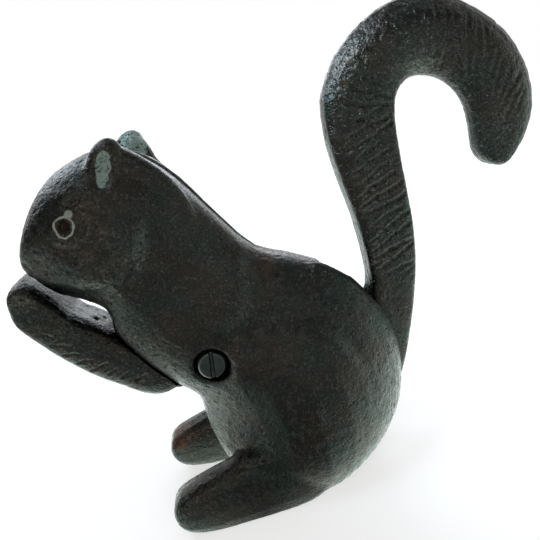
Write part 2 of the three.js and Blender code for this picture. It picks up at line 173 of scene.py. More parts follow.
def rayKinds(tree):
    # 1 for a ray from the camera, and 1 for one that a glossy or clear surface sends
    path = addNode(tree, "ShaderNodeLightPath").outputs
    mirrored = addNode(tree, "ShaderNodeMath", {0: path["Is Glossy Ray"], 1: path["Is Transmission Ray"]},
                       operation="MAXIMUM")
    return path["Is Camera Ray"], mirrored


def makeRoom():
    c = studio
    world = bpy.data.worlds.new("whiteRoom")
    tree = emptyTree(world)
    direct, mirrored = rayKinds(tree)
    shown = addNode(tree, "ShaderNodeMath", {0: direct, 1: mirrored}, operation="MAXIMUM")
    away = addNode(tree, "ShaderNodeSeparateXYZ", {0: addNode(tree, "ShaderNodeTexCoord").outputs["Generated"]})
    depth = addNode(tree, "ShaderNodeMath", {0: away.outputs["X"], 1: c["roomTurn"], 2: away.outputs["Y"]},
                    operation="MULTIPLY_ADD")
    depth = addNode(tree, "ShaderNodeMapRange", {"Value": depth, **span(c["roomSpan"])},
                    interpolation_type="SMOOTHSTEP")
    walls = addNode(tree, "ShaderNodeMix", {0: depth, 6: linear(c["roomFront"]), 7: linear(c["roomBack"])},
                    data_type="RGBA")
    paper = addNode(tree, "ShaderNodeMix", {0: direct, 6: walls.outputs[2], 7: linear(c["paper"])},
                    data_type="RGBA")
    soft = addNode(tree, "ShaderNodeBackground", {"Color": linear(c["paper"]), "Strength": c["fill"]})
    seen = addNode(tree, "ShaderNodeBackground", {"Color": paper.outputs[2], "Strength": 1.0})
    mixed = addNode(tree, "ShaderNodeMixShader", {0: shown, 1: soft, 2: seen})
    addNode(tree, "ShaderNodeOutputWorld", {"Surface": mixed})
    bpy.context.scene.world = world
    bpy.context.scene.view_settings.view_transform = "Standard"


def makeFloor():
    c = studio
    shape = bmesh.new()
    bmesh.ops.create_circle(shape, cap_ends=True, radius=c["floorRadius"], segments=64)
    shape.transform(Matrix.Translation((pivot.x, pivot.y, 0)))
    floor = shapeObject("paleFloor", shape)
    paint, tree = newMaterial("paleFloorPaint")
    matt = addNode(tree, "ShaderNodeBsdfDiffuse", {"Color": linear(c["floorColour"])})
    direct, mirrored = rayKinds(tree)
    place = addNode(tree, "ShaderNodeTexCoord").outputs["Object"]
    far = addNode(tree, "ShaderNodeVectorMath", {0: place}, operation="LENGTH").outputs["Value"]
    own = addNode(tree, "ShaderNodeMapRange", {"Value": far, **span(c["floorSpan"])})
    flat = addNode(tree, "ShaderNodeSeparateXYZ", {0: place})
    beside = addNode(tree, "ShaderNodeMath", {0: flat.outputs["X"], 1: c["seenMiddle"]}, operation="SUBTRACT")
    beside = addNode(tree, "ShaderNodeMath", {0: beside}, operation="ABSOLUTE")
    back = addNode(tree, "ShaderNodeMath", {0: beside, 1: c["seenTurn"], 2: flat.outputs["Y"]},
                   operation="MULTIPLY_ADD")
    bright = addNode(tree, "ShaderNodeMapRange", {"Value": back, **span(c["seenSpan"])},
                     interpolation_type="SMOOTHSTEP")
    left = addNode(tree, "ShaderNodeMapRange", {"Value": far, **span(c["fadeSpan"])})
    bright = addNode(tree, "ShaderNodeMath", {0: bright, 1: left}, operation="MULTIPLY")
    own = addNode(tree, "ShaderNodeMath", {0: direct, 1: own}, operation="MULTIPLY")
    lift = addNode(tree, "ShaderNodeMath", {0: mirrored, 1: bright, 2: own}, operation="MULTIPLY_ADD")
    tint = addNode(tree, "ShaderNodeMix", {0: mirrored, 6: linear(c["paper"]), 7: linear(c["seenColour"])},
                   data_type="RGBA")
    glow = addNode(tree, "ShaderNodeEmission", {"Color": tint.outputs[2], "Strength": lift})
    both = addNode(tree, "ShaderNodeAddShader", {0: matt, 1: glow})
    addNode(tree, "ShaderNodeOutputMaterial", {"Surface": both})
    floor.data.materials.append(paint)


def makeLamps():
    for name, (place, size, brightness, colour, aim, spread) in studio["lamps"].items():
        data = bpy.data.lights.new(name, "AREA")
        data.size = size * mm
        data.energy = brightness * math.pi * (size * mm) ** 2    # watts for that radiance
        data.color = linear(colour)[:3]
        data.spread = math.radians(spread)
        lamp = linkObject(name, data)
        turn = (onObject(*aim) - onObject(*place)).to_track_quat("-Z", "Y").to_matrix()
        lamp.matrix_world = Matrix.Translation(onObject(*place)) @ turn.to_4x4()


makeCamera()
makeRoom()
makeFloor()
makeLamps()
print("camera, room and lamps placed")


def endMetal(tree, colour, layers, rough, height, deep):
    # other colours over the first, each as dense as its amount, and the relief
    colour = linear(colour)
    for amount, over in layers:
        colour = addNode(tree, "ShaderNodeMix", {0: amount, 6: colour, 7: linear(over)},
                         data_type="RGBA").outputs[2]
    bump = addNode(tree, "ShaderNodeBump", {"Height": height, "Distance": deep, "Strength": 1.0})
    shader = addNode(tree, "ShaderNodeBsdfPrincipled",
                     {"Base Color": colour, "Roughness": rough, "Metallic": 1.0, "Normal": bump})
    addNode(tree, "ShaderNodeOutputMaterial", {"Surface": shader})


# Cast iron

castIron = {
    "name": "blackenedCastIron",
    "warm": "#32302d",        # burnt-oil black, brownish
    "cool": "#2b312e",        # where it is handled less
    "rust": "#6b4636",
    "worn": "#62615b",        # rubbed edges, and the flecks on the grain's tips, which are rubbed grain and painted glints
    "bare": "#7d8c85",        # the grey skin where the black has gone, in the ear; on the far ear's inner face it is also a painted highlight
    "ring": "#979c92",        # the same round the eye, rubbed
    "socket": "#211c19",      # dark brown in the eye's hollow
    # size mm, detail, roughness
    "noises": {
        "patches": (14, 3.0, 0.5),     # brown and green
        "mottle": (2.6, 2.0, 0.5),     # dull and glossy spots
        "grain": (0.8, 3.0, 0.6),      # sand grain; drawn coarser than the real 0.3 so that it shows
        "pits": (1.6, 2.0, 0.5),       # between the grains
    },
    # what each noise does: a span
    "effects": {
        "cool": ("patches", (0.4, 0.62)),
        "rubbed": ("grain", (0.4, 0.62)),           # breaks up the worn edges
        "wornTipsAndGlints": ("grain", (0.54, 0.68, 0, 0.4)),    # light flecks on the grain's tips everywhere: rubbed grain, and painted glints
        "rusty": ("pits", (0.38, 0.62)),            # breaks up the rust
        "flecks": ("grain", (0.36, 0.46)),          # black left in the ear
        "rough": ("mottle", (0.35, 0.65, 0.22, 0.36)),
        "pitted": ("pits", (0.28, 0.42, 0, 0.3)),   # mm deep
    },
    "grainDeep": 0.3,         # mm
    "bareRough": 0.62,
    # marks laid on the head: the places' attribute, middle, how much the edge wavers, span of the distance.
    # The places are 1 long at the edge of the ear's patch and at the middle of the eye's ring.
    "marks": {
        "ear": ("earPlace", (0, 0, 0), 0.7, (1.04, 0.94)),
        "socket": ("eyePlace", (0, 0, 0), 0.6, (0.85, 0.55)),
        "corner": ("eyePlace", (0.8, 1.15, 0), 0.5, (0.5, 0.36)),    # of the eye
    },
    "ringSpan": (0.12, 0.04),    # off the ring's middle
}


def makeCastIron():
    # Grey iron cast in sand and burnt black with oil: dark, faintly brown, grainy, glossy at a low angle
    # and where it is rubbed
    c = castIron
    material, tree = newMaterial(c["name"])
    place = addNode(tree, "ShaderNodeTexCoord").outputs["Object"]
    noises = {name: addNode(tree, "ShaderNodeTexNoise",
                            {"Vector": place, "Scale": 1 / (size * mm), "Detail": detail, "Roughness": rough})
              for name, (size, detail, rough) in c["noises"].items()}
    part = {name: addNode(tree, "ShaderNodeMapRange", {"Value": noises[source], **span(values)})
            for name, (source, values) in c["effects"].items()}
    for name, mark in (("rubbed", "wornMark"), ("rusty", "rustMark")):
        where = addNode(tree, "ShaderNodeAttribute", attribute_name=mark).outputs["Fac"]
        part[name] = addNode(tree, "ShaderNodeMath", {0: where, 1: part[name]}, operation="MULTIPLY")

    wobble = addNode(tree, "ShaderNodeMath", {0: noises["mottle"], 1: 0.5}, operation="SUBTRACT")
    far, on = {}, {}
    for name, (places, middle, waver, values) in c["marks"].items():
        places = addNode(tree, "ShaderNodeAttribute", attribute_name=places).outputs["Vector"]
        places = addNode(tree, "ShaderNodeSeparateXYZ", {0: places}).outputs
        flat = addNode(tree, "ShaderNodeCombineXYZ", {"X": places["X"], "Y": places["Y"]})
        plain = addNode(tree, "ShaderNodeVectorMath", {0: flat, 1: middle}, operation="DISTANCE")
        far[name] = addNode(tree, "ShaderNodeMath", {0: wobble, 1: waver, 2: plain.outputs["Value"]},
                            operation="MULTIPLY_ADD")
        part[name] = addNode(tree, "ShaderNodeMapRange", {"Value": far[name], **span(values)})
        on[name] = places["Z"]
    off = addNode(tree, "ShaderNodeMath", {0: far["socket"], 1: 1.0}, operation="SUBTRACT")
    off = addNode(tree, "ShaderNodeMath", {0: off}, operation="ABSOLUTE")
    ring = addNode(tree, "ShaderNodeMapRange", {"Value": off, **span(c["ringSpan"])})
    part["ring"] = addNode(tree, "ShaderNodeMath", {0: ring, 1: part["corner"]}, operation="MAXIMUM")
    part["ear"] = addNode(tree, "ShaderNodeMath", {0: part["ear"], 1: part["flecks"]}, operation="MULTIPLY")
    for name, mark in (("ear", "ear"), ("ring", "socket"), ("socket", "socket")):
        part[name] = addNode(tree, "ShaderNodeMath", {0: part[name], 1: on[mark]}, operation="MULTIPLY")
    part["bare"] = addNode(tree, "ShaderNodeMath", {0: part["ear"], 1: part["ring"]}, operation="MAXIMUM")

    dulled = addNode(tree, "ShaderNodeMath", {0: part["rusty"], 1: part["bare"]}, operation="MAXIMUM")
    rough = addNode(tree, "ShaderNodeMix", {0: dulled, 2: part["rough"], 3: c["bareRough"]})
    height = addNode(tree, "ShaderNodeMath", {0: noises["grain"], 1: c["grainDeep"], 2: part["pitted"]},
                     operation="MULTIPLY_ADD")
    # the flecks on the grain's tips are rubbed grain and painted glints
    layers = (("cool", "cool"), ("rubbed", "worn"), ("wornTipsAndGlints", "worn"), ("rusty", "rust"), ("socket", "socket"),
              ("bare", "bare"), ("ring", "ring"))
    endMetal(tree, c["warm"], [(part[name], c[key]) for name, key in layers], rough, height, mm)
    return material


iron = makeCastIron()
print("cast iron mixed")

# Working a mesh as a caster's pattern: points in mm from the screw

castSkin = {
    "lumps": (7, 0.12),       # mm across, mm high
    "ripple": (3.4, 0.06),
    "grit": (1.5, 0.1),
    "pits": (1.9, 0.2),
    "pitFrom": (0.35, 0.65),  # where in its noise a pit starts and where it is full
    "pitSeed": 7,
    "evenly": 0.8,            # ripple, grit and pits away from the rougher places
    "proud": (0.06, 0.3),     # mm that an edge stands out where it starts to be rubbed and where it is bare
    "proudPasses": 6,
    "settle": 2,              # smoothing passes that take the voxels' steps off
}


def readPoints(mesh):
    values = np.empty(len(mesh.vertices) * 3, np.float32)
    mesh.vertices.foreach_get("co", values)
    return (values.reshape(-1, 3).astype(float) - np.array(pivot)) / mm


def writePoints(mesh, points):
    mesh.vertices.foreach_set("co", (points * mm + np.array(pivot)).astype(np.float32).ravel())
    mesh.update()


def readNormals(mesh):
    values = np.empty(len(mesh.vertices) * 3, np.float32)
    mesh.vertex_normals.foreach_get("vector", values)
    return values.reshape(-1, 3).astype(float)


def readEdges(mesh):
    values = np.empty(len(mesh.edges) * 2, np.int32)
    mesh.edges.foreach_get("vertices", values)
    return values.reshape(-1, 2)


def storeMark(mesh, name, values):
    mark = mesh.attributes.new(name, "FLOAT", "POINT")
    mark.data.foreach_set("value", np.clip(values, 0, 1).astype(np.float32))


def storePlace(mesh, name, across, on):
    mark = mesh.attributes.new(name, "FLOAT_VECTOR", "POINT")
    mark.data.foreach_set("vector", np.column_stack([across, on]).astype(np.float32).ravel())


def around(values, edges):
    # mean of each point's neighbours
    ends = np.concatenate([edges[:, 0], edges[:, 1]])
    others = np.concatenate([edges[:, 1], edges[:, 0]])
    count = np.maximum(np.bincount(ends, minlength=len(values)), 1)
    columns = values.reshape(len(values), -1)
    total = [np.bincount(ends, weights=column[others], minlength=len(values)) for column in columns.T]
    return (np.stack(total, 1) / count[:, None]).reshape(values.shape)


def smoothed(values, edges, passes):
    for _ in range(passes):
        values = (values + around(values, edges)) / 2
    return values


def step(values, start, full):
    # a smooth 0 to 1 from start to full, which may lie on either side
    share = np.clip((values - start) / (full - start), 0, 1)
    return share * share * (3 - 2 * share)


def spots(points, marks):
    # soft round spots on the flanks: x, z, radius and strength
    total = np.zeros(len(points))
    for x, z, radius, amount in marks:
        total += amount * np.exp(-((points[:, 0] - x) ** 2 + (points[:, 2] - z) ** 2) / radius ** 2)
    return total


def noiseField(points, size, seed):
    # -1 to 1, with features about size mm across
    shift = Vector((seed * 17.3, seed * 5.1, seed * 9.7))
    return np.array([noise.noise(Vector(point) / size + shift) for point in points])


def solidCopy(name, pieceName, voxel):
    # an evenly meshed copy of a CAD piece, ready to be sculpted
    shape = bmesh.new()
    shape.from_mesh(frame["nodes"][name].data)
    bmesh.ops.remove_doubles(shape, verts=shape.verts, dist=1e-6)
    piece = shapeObject(pieceName, shape)
    remesh = piece.modifiers.new("evenMesh", "REMESH")
    remesh.mode = "VOXEL"
    remesh.voxel_size = voxel * mm * 1
    remesh.use_smooth_shade = True
    keepModified(piece)
    mesh = piece.data
    coat(mesh, iron)
    writePoints(mesh, smoothed(readPoints(mesh), readEdges(mesh), castSkin["settle"]))
    return piece


def alongLine(points, line):
    # each point's distance from a smoothed line in the X-Z plane, its side (+ is left), and a share that
    # fades out at the line's ends
    knots = [Vector(p) for p in line]
    legs = 4                  # from one knot to the next
    fadeShare = 0.15          # of the line, at each end
    dense = []
    for i in range(len(knots) - 1):
        a, b = knots[max(i - 1, 0)], knots[i]
        c, d = knots[i + 1], knots[min(i + 2, len(knots) - 1)]
        for k in range(legs):
            t = k / legs
            dense.append(0.5 * (2 * b + (c - a) * t + (2 * a - 5 * b + 4 * c - d) * t ** 2
                                + (3 * b - a - 3 * c + d) * t ** 3))
    dense = np.array(dense + [knots[-1]])
    flat = points[:, [0, 2]]
    reach = np.cumsum(np.r_[0, np.linalg.norm(np.diff(dense, axis=0), axis=1)])
    best = np.full(len(points), np.inf)
    side = np.ones(len(points))
    share = np.zeros(len(points))
    for i in range(len(dense) - 1):
        leg = dense[i + 1] - dense[i]
        length = np.linalg.norm(leg)
        away = flat - dense[i]
        t = np.clip(away @ leg / length ** 2, 0, 1)
        distance = np.linalg.norm(away - t[:, None] * leg, axis=1)
        nearer = distance < best
        best = np.where(nearer, distance, best)
        side = np.where(nearer, np.sign(leg[0] * away[:, 1] - leg[1] * away[:, 0]), side)
        share = np.where(nearer, (reach[i] + t * length) / reach[-1], share)
    return best, side, step(share, 0, fadeShare) * step(1 - share, 0, fadeShare)


def foldOver(points, line, wide, height):
    # a rounded swelling on the line's left that drops into a crease on its right
    distance, side, ends = alongLine(points, line)
    across = side * distance / wide
    return height * across * np.exp(0.5 - across ** 2 / 2) * ends


def grooveAlong(points, line, wide, deep):
    distance, _, ends = alongLine(points, line)
    return -deep * np.exp(-(distance / wide) ** 2) * ends


def fillCreases(piece, weight, passes):
    # rounds inner corners off into fillets, and leaves everything else
    mesh = piece.data
    edges = readEdges(mesh)
    points = readPoints(mesh)
    hollowFull = 0.02         # mm that a point lies below its neighbours' mean in a true corner
    pull = 0.9                # of the way to the mean
    for _ in range(passes):
        normals = readNormals(mesh)
        below = np.einsum("ij,ij->i", around(points, edges) - points, normals)
        inner = step(smoothed(below, edges, 2), 0, hollowFull)
        points = points + normals * (below * inner * weight * pull)[:, None]
        writePoints(mesh, points)


def openSkin(piece, others):
    # 1 on the outer skin, 0 on faces that another casting is close to
    mesh = piece.data
    reach = 3.0               # mm
    lift = 0.05               # mm off the skin
    trees = []
    for name in others:
        solid = frame["nodes"][name].data
        trees.append(BVHTree.FromPolygons([v.co for v in solid.vertices], [f.vertices for f in solid.polygons]))
    points = readPoints(mesh)
    normals = readNormals(mesh)
    free = np.ones(len(points))
    for i, (point, normal) in enumerate(zip(points, normals)):
        start = onObject(*(point + normal * lift))
        if any(tree.ray_cast(start, Vector(normal), reach * mm)[0] is not None for tree in trees):
            free[i] = 0
    return step(smoothed(free, readEdges(mesh), 3), 0.5, 1)


def castTexture(piece, free, rougher):
    # the mould's sand leaves lumps, grit and pits all over the skin, more of them in the rougher places
    c = castSkin
    mesh = piece.data
    points = readPoints(mesh)
    normals = readNormals(mesh)
    gain = c["evenly"] + spots(points, rougher)
    rise = np.zeros(len(points))
    for seed, key in enumerate(("lumps", "ripple", "grit")):
        size, high = c[key]
        rise += high * noiseField(points, size, seed) * (1 if key == "lumps" else gain)
    size, deep = c["pits"]
    rise -= deep * step(noiseField(points, size, c["pitSeed"]), *c["pitFrom"]) * gain
    points += normals * (rise * free)[:, None]
    points[:, 2] = np.maximum(points[:, 2], groundZ)
    writePoints(mesh, points)


def markWear(piece, handled):
    # proud edges are rubbed bright, and so is what the hand and the nuts touch
    c = castSkin
    mesh = piece.data
    points = readPoints(mesh)
    level = smoothed(points, readEdges(mesh), c["proudPasses"])
    proud = np.einsum("ij,ij->i", points - level, readNormals(mesh))
    storeMark(mesh, "wornMark", step(proud, *c["proud"]) + spots(points, handled))


# Body halves

bodyHalf = {
    "voxel": 0.66,
    # lines on the flank, (x, z) in mm from the screw; a fold swells on its left
    "folds": {                # line, width mm, height mm
        "cheek": ([(-54, 43.5), (-50.3, 42.6), (-46.6, 40.5), (-41.7, 39.2), (-33.4, 37), (-27.3, 37.2),
                   (-21, 39), (-16.4, 42), (-13, 46), (-11.1, 53.1), (-11.5, 60)], 3.2, 0.95),
        "shoulder": ([(8, 2), (12, 11.3), (14.6, 14.6), (17.1, 20), (19.1, 26.2), (21, 31.5), (21.8, 36.5),
                      (21.5, 42)], 4.2, 0.6),
        "haunch": ([(55, -15), (48.7, -5.8), (46.2, -0.9), (40, 4.2), (31.9, 8.2), (23.2, 9.6), (16.1, 10.5),
                    (13.1, 10), (10.5, 8.1), (8.1, 4.4), (5.8, -3), (3, -11.5)], 3, 0.75),
        "underEye": ([(-39.4, 56.8), (-38.3, 54.9), (-35.3, 53.4), (-31.7, 52.8), (-28.9, 53.4), (-26.4, 55),
                      (-24.8, 57.6), (-24.2, 60)], 1.1, 0.4),
        "brow": ([(-35.5, 65.5), (-31.4, 67.4), (-26.5, 68), (-22.3, 65.6), (-20.2, 61.6), (-18.9, 58),
                  (-18.9, 54.4)], 1.6, 0.4),
        "temple": ([(-29.5, 64.8), (-26.6, 64.2), (-23.6, 62), (-21.8, 58.8)], 1.1, 0.3),
    },
    "grooves": {              # line, width mm, depth mm
        "mouth": ([(-51.5, 52), (-51.9, 50.9), (-51.1, 48.5), (-51.1, 45.1), (-53.5, 41.5)], 0.9, 0.5),
        "foot": ([(-4, -39.7), (0.7, -39.7), (7.4, -42.7), (14.1, -47), (20.8, -51.7), (27, -56)], 2, 0.6),
        "haunchHollow": ([(14, 7), (20.9, 11), (28.7, 9), (36, 5.5)], 3.5, 0.5),
    },
    # where folds and grooves start and are full: how far the skin faces sideways, mm from the parting face
    "flankFacing": (0.1, 0.45),
    "flankFrom": (4, 8),
    # where inner corners are filled, in mm: from the parting face, under the belly, over the sole, at the ears
    "filletFrom": (3, 5),
    "filletFoot": (-26, -32),
    "filletSole": (groundZ + 1, groundZ + 5),
    "filletEar": (50, 56),
    "filletPasses": 36,
    "recessRim": (7.4, 1.6),  # radius and width of the ring where the recess round the screw is rubbed soft
    "rimFrom": (12, 14),      # mm from the parting face
    "rimPasses": 24,
    # the near half swells along the slot in the back, by this many mm, within these fades: axis, start, full
    "slotSwell": 2.6,
    "slotFades": ((0, 40, 46), (0, 64, 56), (2, -2, 8), (1, 6, 9), (1, 18, 9)),
    "slotFacing": (-0.3, 0.3),    # upwards
    "marksFrom": (8, 9),      # mm from the parting face: the marks of ears and eyes
    "ear": ((-17.4, 74.6), (2.4, 5.9), 22),    # middle, radii mm and lean degrees of the bare patch
    "eye": ((-33.8, 59.8), 3.1),               # middle, radius of the ring mm
    "shift": {-1: {"ear": (0, 0), "eye": (0, 0)}, 1: {"ear": (4.5, 0.3), "eye": (1, 0.6)}},
    "farEarBareAndHighlight": ((-9.2, 79.4), (5, 6.4)),     # the pitted face that the far ear turns to the near one, painted bare grey: bare iron and painted highlight
    "earFacing": -0.2,
    # spots: x, z, radius mm, strength
    "eyePit": [(-33.1, 59.7, 0.8, -0.7)],      # mm
    "rougher": [(-30, 48, 15, 1.6), (-12, 78, 8, 0.6), (-36, 72, 12, 0.5), (29, 29, 9, 1.0),
                (-8, -38, 10, 0.6), (62, -15, 12, 0.5), (-25, -46, 8, 0.5)],
    "handled": [(-18, 43, 6, 0.45), (-30, 41, 4, 0.3), (-40, 77, 6, 0.3), (-25, -43, 6, 0.35),
                (10, 33, 6, 0.2)],
    "rust": {-1: [(27.5, 29, 4, 0.35)], 1: [(-26, -45, 5, 0.8)]},
}


def markHead(mesh, side):
    # where each point lies on the bare patch of the ear, whose far inner face is also a painted highlight, and
    # on the eye's ring, for the material
    c = bodyHalf
    points = readPoints(mesh)
    flat = points[:, [0, 2]]
    on = step(side * points[:, 1], *c["marksFrom"])
    shift = c["shift"][side]
    middle, radii, lean = c["ear"]
    turn = np.array(Matrix.Rotation(-math.radians(lean), 2))
    across = (flat - middle - shift["ear"]) @ turn / radii
    if side > 0:
        # the far ear's inner face: bare grey that is also a painted highlight
        middle, radii = c["farEarBareAndHighlight"]
        inside = (readNormals(mesh)[:, 1] < c["earFacing"])[:, None]
        across = np.where(inside, (flat - middle) / radii, across)
    storePlace(mesh, "earPlace", across, on)
    middle, radius = c["eye"]
    storePlace(mesh, "eyePlace", (flat - middle - shift["eye"]) / radius, on)


def sculptHalf(name, pieceName, side):
    c = bodyHalf
    piece = solidCopy(name, pieceName, c["voxel"])
    mesh = piece.data
    edges = readEdges(mesh)
    free = openSkin(piece, ("left_body_casting", "right_body_casting", "tail_lever", "pivot_screw"))
    points = readPoints(mesh)
    foot = step(points[:, 2], *c["filletFoot"]) * step(points[:, 2], *c["filletSole"])
    corners = np.maximum(foot, step(points[:, 2], *c["filletEar"]))
    fillCreases(piece, step(side * points[:, 1], *c["filletFrom"]) * corners * free,
                c["filletPasses"])

    points = readPoints(mesh)
    middle, wide = c["recessRim"]
    rim = np.exp(-((np.hypot(points[:, 0], points[:, 2]) - middle) / wide) ** 2)
    rim *= step(side * points[:, 1], *c["rimFrom"])
    points += (smoothed(points, edges, c["rimPasses"]) - points) * rim[:, None]
    writePoints(mesh, points)

    normals = readNormals(mesh)
    flank = step(side * normals[:, 1], *c["flankFacing"]) * step(side * points[:, 1], *c["flankFrom"]) * free
    rise = spots(points, c["eyePit"])
    for line, wide, high in c["folds"].values():
        rise += foldOver(points, line, wide, high)
    for line, wide, deep in c["grooves"].values():
        rise += grooveAlong(points, line, wide, deep)
    writePoints(mesh, points + normals * (rise * flank)[:, None])

    points = readPoints(mesh)
    swell = (side < 0) * c["slotSwell"] * step(normals[:, 2], *c["slotFacing"])
    for axis, start, full in c["slotFades"]:
        swell = swell * step(points[:, axis] * (side if axis == 1 else 1), start, full)
    points[:, 2] += swell
    writePoints(mesh, points)
    castTexture(piece, free, c["rougher"])
    markWear(piece, c["handled"])
    markHead(mesh, side)
    storeMark(mesh, "rustMark", spots(readPoints(mesh), c["rust"][side]))
    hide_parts(name)
    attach(piece, "body")
    print(pieceName, len(mesh.polygons), "faces")


sculptHalf("left_body_casting", "leftBodyCastIron", -1)
sculptHalf("right_body_casting", "rightBodyCastIron", 1)
print("body halves sculpted")

# Tail lever

tailLever = {
    "voxel": 0.57,
    # the plume's middle line: x, z, half width in mm, then the lean of the fur's strokes in degrees
    "spine": [(73.3, 6, 8, 70), (74.3, 20.3, 8, 72), (73.9, 33.8, 8, 74), (72.3, 47.3, 8.4, 74),
              (71, 60.8, 8.8, 76), (71.1, 73.3, 9.5, 84), (74.8, 83, 10, 90), (81.3, 89.4, 10, 90),
              (90.2, 93.6, 10, 84), (100.3, 93.2, 10, 76), (109.3, 88.6, 10, 62), (117.2, 80.7, 9.5, 46),
              (122.2, 70.4, 9, 40), (123.5, 59.4, 9, 36), (121.9, 50, 8, 36)],
    # how much thinner the plume gets towards its outer and inner edges than in CAD, as shares along that line
    "outerShare": [0, 0, 0, 0, 0.1, 0.25, 0.45, 0.5, 0.48, 0.4, 0.3, 0.2, 0.2, 0.2, 0.1],
    "innerShare": [0, 0, 0, 0, 0, 0.1, 0.25, 0.4, 0.4, 0.35, 0.25, 0.1, 0, 0, 0],
    # thinning: mm from the line where its side counts, where it starts, over how far, and how suddenly
    "sideFrom": (2, 6),
    "thinFrom": 4.5,
    "thinOver": 9,
    "thinPower": 1.6,
    "thinPasses": 40,
    # how deep the fur is cut along that line
    "furShare": [1, 1, 1, 1, 0.9, 0.8, 0.5, 0.15, 0.12, 0.25, 0.45, 0.5, 0.5, 0.35, 0],
    "furPasses": 60,
    "furEdge": (9.5, 7),     # mm from the line on its left, where the fur fades out before the outer edge
    "furFacing": (0.35, 0.85),
    # the short nicks under the forearms: x, z, half length in mm, lean in degrees
    "nicks": [(-53.7, 22.4, 1.9, 150), (-51.6, 19.1, 2, 145), (-49.1, 14.7, 2.3, 138), (-46.2, 11.3, 2.3, 136),
              (-41.2, 7.2, 2.5, 136), (-36.4, 3.6, 2.3, 134), (-31.3, 0.7, 2.4, 136), (-26.8, -1.7, 1.5, 136)],
    "nickFrom": (-20, -25),  # mm along x, and from the middle
    "nickOutside": (9.5, 11),
    # what the strokes' tree is given
    "furStrokes": {"Strokes": 40, "Deep": 0.6 * mm, "Wide": 0.7 * mm, "Wander": 0.9, "Slip": 14 * mm,
                   "Lip": 0.25, "Seed": 4, "Mark": "furMark"},
    "nickStrokes": {"Strokes": 8, "Deep": 0.6 * mm, "Wide": 0.5 * mm, "Wander": 0.4, "Slip": 0.0,
                    "Lip": 0.25, "Seed": 9, "Mark": "nickMark"},
    "blowholes": [(-38, -3, 21.6, 0.9, 1.0), (-36.1, 1, 20, 0.6, 0.7), (-42, 5, 24.5, 0.6, 0.5)],
    "rougher": [(80, 101, 15, 0.9), (66, 86, 12, 0.8), (-59, 38, 7, 1.0), (120, 56, 12, 1.0)],
    "handled": [(-58, 38, 5, 0.7), (68, 96, 14, 0.35), (94, 84, 9, 0.4), (121, 56, 9, 0.35),
                (-46, 24, 6, 0.2)],
}

castStrokes = {
    # how each stroke differs, low and high: turn in radians, then shares of its half length, then of the slip
    "vary": {"turn": (-0.2, 0.2), "long": (0.5, 1.4), "bend": (-0.7, 0.9), "aside": (-0.5, 0.5)},
    "arc": ((-1, 0, 0.1), (0, 0, -0.14), (1, 0, 0.1)),
    "arcPoints": 8,
    "wave": 7,               # mm, size of the waver
    "waveReach": 3,          # mm
    "lipAt": 1.8,            # widths from the groove's middle
    "lipSharp": 1.8,
}


def strokeLine(name, points):
    # a poly curve in the plane y = 0, whose radius and tilt carry each stroke's half length and lean
    data = bpy.data.curves.new(name, "CURVE")
    data.dimensions = "3D"
    spline = data.splines.new("POLY")
    spline.points.add(len(points) - 1)
    for point, (x, z, half, lean) in zip(spline.points, points):
        place = onObject(x, 0, z)
        point.co = (place.x, place.y, place.z, 1)
        point.radius = half * mm
        point.tilt = math.radians(lean)
    return linkObject(name, data)


